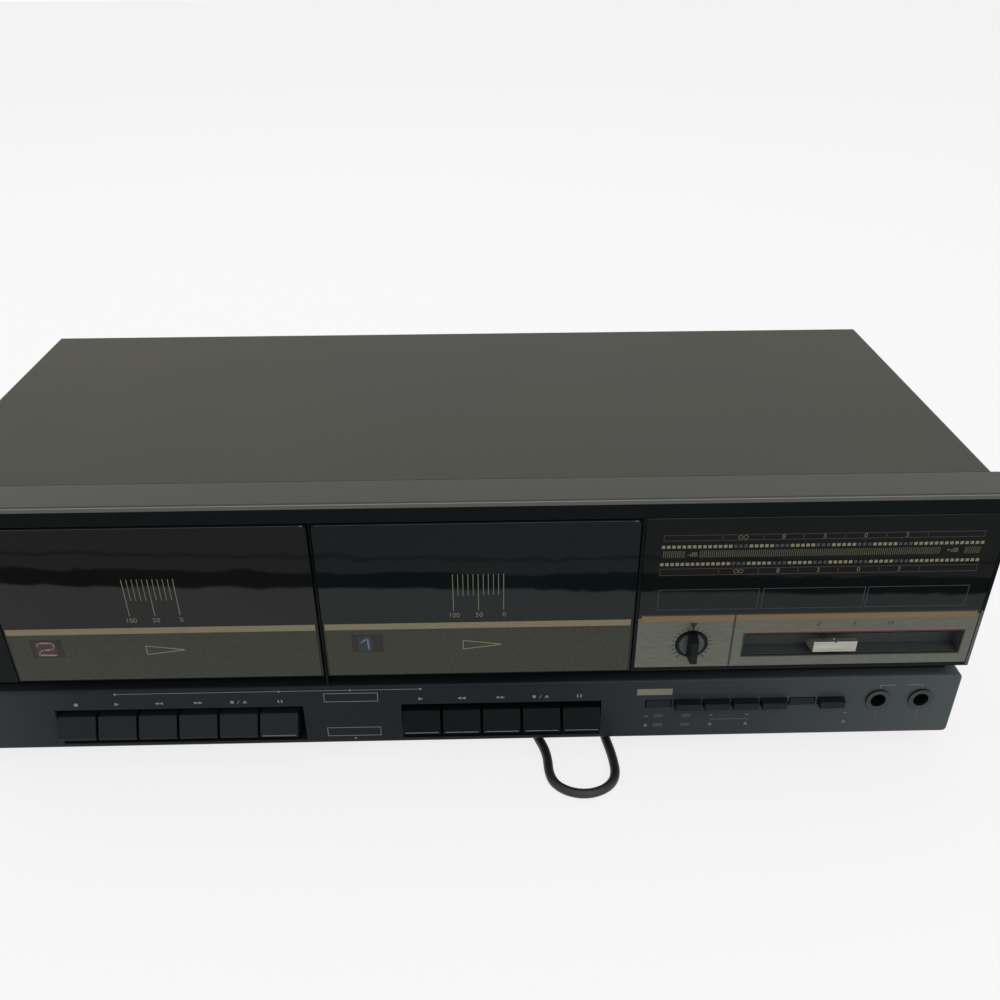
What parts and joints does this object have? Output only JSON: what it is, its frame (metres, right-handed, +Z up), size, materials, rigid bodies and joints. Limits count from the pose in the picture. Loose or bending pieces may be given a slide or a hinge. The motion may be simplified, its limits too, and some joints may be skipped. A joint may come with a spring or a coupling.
{
  "type": "double cassette deck",
  "caption": "Twin-well tape deck with piano keys, lamp-row level display, slider and mains lead.",
  "frame": {"origin": "under the middle of the deck, on the surface that its feet stand on", "axes": "+Z up, front towards -Y, +X to the right seen from the front"},
  "size_m": [0.43, 0.3418, 0.126],
  "materials": {
    "plated_steel": "zinc plated sheet",
    "cover_paint": "satin dark grey paint",
    "bezel_plastic": "gloss black moulding",
    "strip_plastic": "satin dark grey moulding",
    "smoked_window": "smoked clear acrylic",
    "circuit_board": "phenolic board with parts",
    "satin_plate": "satin metal plate",
    "black_plastic": "black moulding",
    "plated_contacts": "plated socket shells",
    "dark_steel": "varnished laminations",
    "belt_rubber": "ground rubber belt",
    "foot_rubber": "moulded rubber",
    "screw_steel": "blackened steel",
    "cord_rubber": "black flexible jacket",
    "knob_chrome": "satin chrome",
    "pulley_brass": "turned brass",
    "door_plastic": "black door moulding",
    "key_plastic": "black key caps",
    "button_plastic": "black button caps",
    "wheel_steel": "turned steel"
  },
  "bodies": {
    "deck": {"chassis": "plated_steel", "top_cover": "cover_paint", "front_bezel": "bezel_plastic", "control_strip": "strip_plastic", "display_window": "smoked_window", "level_display": "circuit_board", "control_plate": "satin_plate", "slider_track": "black_plastic", "switch_board": "circuit_board", "mic_jacks": "black_plastic", "line_jacks": "plated_contacts", "main_board": "circuit_board", "transformer": "dark_steel", "motor": "plated_steel", "drive_belt": "belt_rubber", "deck_plate_1": "plated_steel", "deck_plate_2": "plated_steel", "feet": "foot_rubber", "screws": "screw_steel", "strain_relief": "cord_rubber", "mains_cord": "cord_rubber", "cord_coil": "cord_rubber", "mains_plug": "cord_rubber"},
    "door_1": {"door_frame_1": "door_plastic", "door_window_1": "smoked_window", "cassette_holder_1": "black_plastic"},
    "play_key_1": {"play_key_1": "key_plastic"},
    "rewind_key_1": {"rewind_key_1": "key_plastic"},
    "forward_key_1": {"forward_key_1": "key_plastic"},
    "stop_key_1": {"stop_key_1": "key_plastic"},
    "pause_key_1": {"pause_key_1": "key_plastic"},
    "supply_spindle_1": {"supply_spindle_1": "black_plastic"},
    "takeup_spindle_1": {"takeup_spindle_1": "black_plastic"},
    "flywheel_1": {"flywheel_1": "wheel_steel"},
    "head_plate_1": {"head_plate_1": "plated_steel"},
    "pinch_arm_1": {"pinch_arm_1": "plated_steel"},
    "door_2": {"door_frame_2": "door_plastic", "door_window_2": "smoked_window", "cassette_holder_2": "black_plastic"},
    "record_key_2": {"record_key_2": "key_plastic"},
    "play_key_2": {"play_key_2": "key_plastic"},
    "rewind_key_2": {"rewind_key_2": "key_plastic"},
    "forward_key_2": {"forward_key_2": "key_plastic"},
    "stop_key_2": {"stop_key_2": "key_plastic"},
    "pause_key_2": {"pause_key_2": "key_plastic"},
    "supply_spindle_2": {"supply_spindle_2": "black_plastic"},
    "takeup_spindle_2": {"takeup_spindle_2": "black_plastic"},
    "flywheel_2": {"flywheel_2": "wheel_steel"},
    "head_plate_2": {"head_plate_2": "plated_steel"},
    "pinch_arm_2": {"pinch_arm_2": "plated_steel"},
    "motor_pulley": {"motor_pulley": "pulley_brass"},
    "push_button_1": {"push_button_1": "button_plastic"},
    "push_button_2": {"push_button_2": "button_plastic"},
    "push_button_3": {"push_button_3": "button_plastic"},
    "push_button_4": {"push_button_4": "button_plastic"},
    "push_button_5": {"push_button_5": "button_plastic"},
    "push_button_6": {"push_button_6": "button_plastic"},
    "push_button_7": {"push_button_7": "button_plastic"},
    "level_knob": {"level_knob": "knob_chrome"},
    "balance_knob": {"balance_knob": "black_plastic"}
  },
  "joints": [
    {"name": "door_1_hinge", "type": "hinge", "parent": "deck", "child": "door_1", "pos_m": [0.0075, -0.092, 0.048], "axis": [1, 0, 0], "range_deg": [0, 27]},
    {"name": "play_key_1_press", "type": "hinge", "parent": "deck", "child": "play_key_1", "pos_m": [0.0075, -0.08, 0.034], "axis": [1, 0, 0], "range_deg": [0, 9], "stiffness_Nm_per_rad": 0.3, "springref_deg": -5.73},
    {"name": "rewind_key_1_press", "type": "hinge", "parent": "deck", "child": "rewind_key_1", "pos_m": [0.0075, -0.08, 0.034], "axis": [1, 0, 0], "range_deg": [0, 9], "stiffness_Nm_per_rad": 0.3, "springref_deg": -5.73},
    {"name": "forward_key_1_press", "type": "hinge", "parent": "deck", "child": "forward_key_1", "pos_m": [0.0075, -0.08, 0.034], "axis": [1, 0, 0], "range_deg": [0, 9], "stiffness_Nm_per_rad": 0.3, "springref_deg": -5.73},
    {"name": "stop_key_1_press", "type": "hinge", "parent": "deck", "child": "stop_key_1", "pos_m": [0.0075, -0.08, 0.034], "axis": [1, 0, 0], "range_deg": [0, 9], "stiffness_Nm_per_rad": 0.3, "springref_deg": -5.73},
    {"name": "pause_key_1_press", "type": "hinge", "parent": "deck", "child": "pause_key_1", "pos_m": [0.0075, -0.08, 0.034], "axis": [1, 0, 0], "range_deg": [0, 9], "stiffness_Nm_per_rad": 0.3, "springref_deg": -5.73},
    {"name": "supply_spindle_1_spin", "type": "hinge", "parent": "deck", "child": "supply_spindle_1", "pos_m": [-0.01375, -0.078, 0.0861], "axis": [0, 1, 0], "continuous": true},
    {"name": "takeup_spindle_1_spin", "type": "hinge", "parent": "deck", "child": "takeup_spindle_1", "pos_m": [0.02875, -0.078, 0.0861], "axis": [0, 1, 0], "continuous": true},
    {"name": "flywheel_1_spin", "type": "hinge", "parent": "deck", "child": "flywheel_1", "pos_m": [0.0295, -0.078, 0.0605], "axis": [0, 1, 0], "continuous": true},
    {"name": "head_plate_1_slide", "type": "slide", "parent": "deck", "child": "head_plate_1", "axis": [0, 0, 1], "range_m": [0, 0.005]},
    {"name": "pinch_arm_1_swing", "type": "hinge", "parent": "deck", "child": "pinch_arm_1", "pos_m": [0.0475, -0.082, 0.0445], "axis": [0, 1, 0], "range_deg": [0, 14]},
    {"name": "door_2_hinge", "type": "hinge", "parent": "deck", "child": "door_2", "pos_m": [-0.121, -0.092, 0.048], "axis": [1, 0, 0], "range_deg": [0, 27]},
    {"name": "record_key_2_press", "type": "hinge", "parent": "deck", "child": "record_key_2", "pos_m": [-0.121, -0.08, 0.034], "axis": [1, 0, 0], "range_deg": [0, 9], "stiffness_Nm_per_rad": 0.3, "springref_deg": -5.73},
    {"name": "play_key_2_press", "type": "hinge", "parent": "deck", "child": "play_key_2", "pos_m": [-0.121, -0.08, 0.034], "axis": [1, 0, 0], "range_deg": [0, 9], "stiffness_Nm_per_rad": 0.3, "springref_deg": -5.73},
    {"name": "rewind_key_2_press", "type": "hinge", "parent": "deck", "child": "rewind_key_2", "pos_m": [-0.121, -0.08, 0.034], "axis": [1, 0, 0], "range_deg": [0, 9], "stiffness_Nm_per_rad": 0.3, "springref_deg": -5.73},
    {"name": "forward_key_2_press", "type": "hinge", "parent": "deck", "child": "forward_key_2", "pos_m": [-0.121, -0.08, 0.034], "axis": [1, 0, 0], "range_deg": [0, 9], "stiffness_Nm_per_rad": 0.3, "springref_deg": -5.73},
    {"name": "stop_key_2_press", "type": "hinge", "parent": "deck", "child": "stop_key_2", "pos_m": [-0.121, -0.08, 0.034], "axis": [1, 0, 0], "range_deg": [0, 9], "stiffness_Nm_per_rad": 0.3, "springref_deg": -5.73},
    {"name": "pause_key_2_press", "type": "hinge", "parent": "deck", "child": "pause_key_2", "pos_m": [-0.121, -0.08, 0.034], "axis": [1, 0, 0], "range_deg": [0, 9], "stiffness_Nm_per_rad": 0.3, "springref_deg": -5.73},
    {"name": "supply_spindle_2_spin", "type": "hinge", "parent": "deck", "child": "supply_spindle_2", "pos_m": [-0.14225, -0.078, 0.0861], "axis": [0, 1, 0], "continuous": true},
    {"name": "takeup_spindle_2_spin", "type": "hinge", "parent": "deck", "child": "takeup_spindle_2", "pos_m": [-0.09975, -0.078, 0.0861], "axis": [0, 1, 0], "continuous": true},
    {"name": "flywheel_2_spin", "type": "hinge", "parent": "deck", "child": "flywheel_2", "pos_m": [-0.099, -0.078, 0.0605], "axis": [0, 1, 0], "continuous": true},
    {"name": "head_plate_2_slide", "type": "slide", "parent": "deck", "child": "head_plate_2", "axis": [0, 0, 1], "range_m": [0, 0.005]},
    {"name": "pinch_arm_2_swing", "type": "hinge", "parent": "deck", "child": "pinch_arm_2", "pos_m": [-0.081, -0.082, 0.0445], "axis": [0, 1, 0], "range_deg": [0, 14]},
    {"name": "motor_pulley_spin", "type": "hinge", "parent": "deck", "child": "motor_pulley", "pos_m": [-0.03475, -0.068, 0.098], "axis": [0, 1, 0], "continuous": true},
    {"name": "push_button_1_press", "type": "slide", "parent": "deck", "child": "push_button_1", "axis": [0, 1, 0], "range_m": [-0.0035, 0.0015]},
    {"name": "push_button_2_press", "type": "slide", "parent": "deck", "child": "push_button_2", "axis": [0, 1, 0], "range_m": [0, 0.005], "stiffness_N_per_m": 300, "springref_m": -0.002},
    {"name": "push_button_3_press", "type": "slide", "parent": "deck", "child": "push_button_3", "axis": [0, 1, 0], "range_m": [0, 0.005], "stiffness_N_per_m": 300, "springref_m": -0.002},
    {"name": "push_button_4_press", "type": "slide", "parent": "deck", "child": "push_button_4", "axis": [0, 1, 0], "range_m": [0, 0.005], "stiffness_N_per_m": 300, "springref_m": -0.002},
    {"name": "push_button_5_press", "type": "slide", "parent": "deck", "child": "push_button_5", "axis": [0, 1, 0], "range_m": [0, 0.005], "stiffness_N_per_m": 300, "springref_m": -0.002},
    {"name": "push_button_6_press", "type": "slide", "parent": "deck", "child": "push_button_6", "axis": [0, 1, 0], "range_m": [-0.0035, 0.0015]},
    {"name": "push_button_7_press", "type": "slide", "parent": "deck", "child": "push_button_7", "axis": [0, 1, 0], "range_m": [0, 0.005], "stiffness_N_per_m": 300, "springref_m": -0.002},
    {"name": "level_slide", "type": "slide", "parent": "deck", "child": "level_knob", "axis": [1, 0, 0], "range_m": [-0.028, 0.043]},
    {"name": "balance_turn", "type": "hinge", "parent": "deck", "child": "balance_knob", "pos_m": [0.0958, -0.098, 0.0586], "axis": [0, 1, 0], "range_deg": [-140, 140]}
  ],
  "couplings": [
    {"joint": "head_plate_1_slide", "follows": "play_key_1_press", "m_per_rad": 0.0318},
    {"joint": "pinch_arm_1_swing", "follows": "play_key_1_press", "ratio": 1.55},
    {"joint": "head_plate_2_slide", "follows": "play_key_2_press", "m_per_rad": 0.0318},
    {"joint": "pinch_arm_2_swing", "follows": "play_key_2_press", "ratio": 1.55},
    {"joint": "flywheel_2_spin", "follows": "flywheel_1_spin", "ratio": 1},
    {"joint": "takeup_spindle_1_spin", "follows": "flywheel_1_spin", "ratio": -0.3107},
    {"joint": "takeup_spindle_2_spin", "follows": "flywheel_1_spin", "ratio": -0.3107},
    {"joint": "motor_pulley_spin", "follows": "flywheel_1_spin", "ratio": 4.5667}
  ]
}
